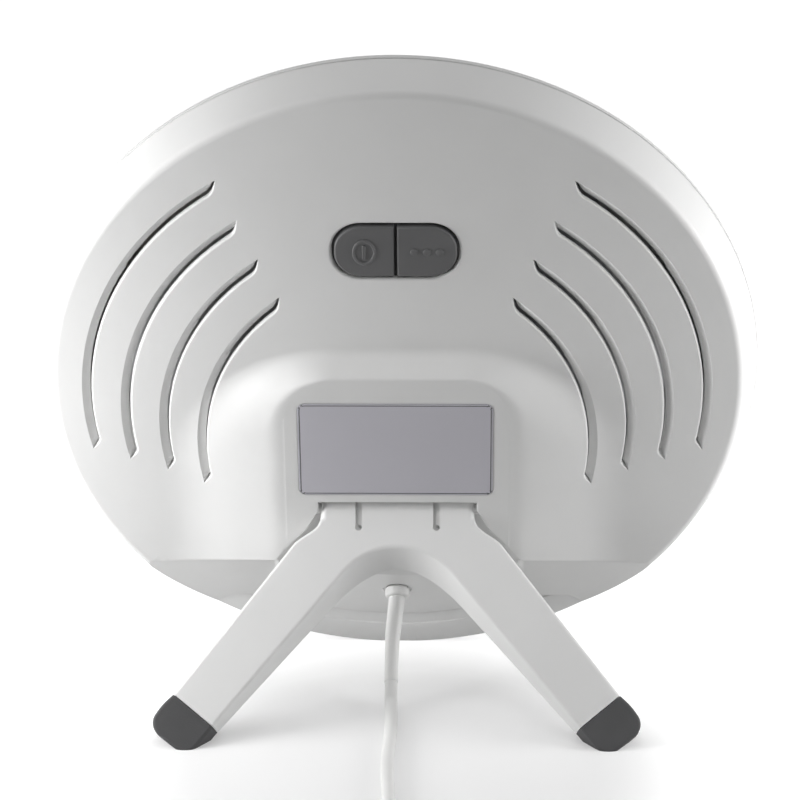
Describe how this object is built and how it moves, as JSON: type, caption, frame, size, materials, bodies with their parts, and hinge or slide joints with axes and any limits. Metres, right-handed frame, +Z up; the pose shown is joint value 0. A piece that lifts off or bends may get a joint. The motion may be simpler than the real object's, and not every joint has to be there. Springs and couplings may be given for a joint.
{
  "type": "light therapy lamp",
  "caption": "Round daylight therapy lamp leaning back on a folding two-legged stand, with push keys and vents in the rear cover and a coiled mains lead.",
  "frame": {"origin": "on the table, midway across the lamp and midway between the front of the rim and the backs of the feet", "axes": "+X along the rim's width, +Y towards the lit face's side, +Z up from the table"},
  "size_m": [0.3081, 0.3128, 0.2898],
  "materials": {
    "shell": "white moulded plastic, satin with a very fine grain",
    "opal": "opal white diffuser, satin",
    "board_white": "white solder mask or white moulding, satin",
    "heat_aluminium": "plain rolled sheet",
    "board_green": "green solder mask",
    "component_yellow": "yellow tape or moulding",
    "component_dark": "dark moulding",
    "key_grey": "dark grey soft-touch key",
    "label_foil": "satin label foil with a faint lilac tint",
    "foot_rubber": "dark grey rubber, matt",
    "cord": "white flexible sheath, satin",
    "steel": "plated steel"
  },
  "bodies": {
    "head": {"front_frame": "shell", "diffuser": "opal", "rear_cover": "shell", "reflector_ring": "board_white", "led_board": "board_white", "heat_plate": "heat_aluminium", "driver_board": "board_green", "transformer": "component_yellow", "film_capacitor": "component_yellow", "smoothing_capacitor": "component_dark", "terminal_block": "board_white", "key_board": "board_green", "power_switch": "component_dark", "colour_switch": "component_dark", "rating_plate": "label_foil", "cord_gland": "cord", "inner_mains_lead": "cord", "led_lead": "component_dark", "key_ribbon": "board_white", "heat_plate_screw_1": "steel", "heat_plate_screw_2": "steel", "heat_plate_screw_3": "steel", "heat_plate_screw_4": "steel", "driver_screw_1": "steel", "driver_screw_2": "steel", "driver_screw_3": "steel", "driver_screw_4": "steel", "mains_cord": "cord", "cord_coil": "cord", "cord_tail": "cord", "plug_body": "cord", "plug_pin_left": "steel", "plug_pin_right": "steel"},
    "leg_stand": {"stand": "shell", "foot_cap_left": "foot_rubber", "foot_cap_right": "foot_rubber"},
    "power_button": {"power_key": "key_grey"},
    "colour_button": {"colour_key": "key_grey"}
  },
  "joints": [
    {"name": "stand_hinge", "type": "hinge", "parent": "head", "child": "leg_stand", "pos_m": [0, 0.00351, 0.08405], "axis": [1, 0, 0], "range_deg": [0, 46.8]},
    {"name": "power_key_press", "type": "slide", "parent": "head", "child": "power_button", "axis": [0, 0.9659, 0.2588], "range_m": [0, 0.0008], "stiffness_N_per_m": 800},
    {"name": "colour_key_press", "type": "slide", "parent": "head", "child": "colour_button", "axis": [0, 0.9659, 0.2588], "range_m": [0, 0.0008], "stiffness_N_per_m": 800}
  ]
}
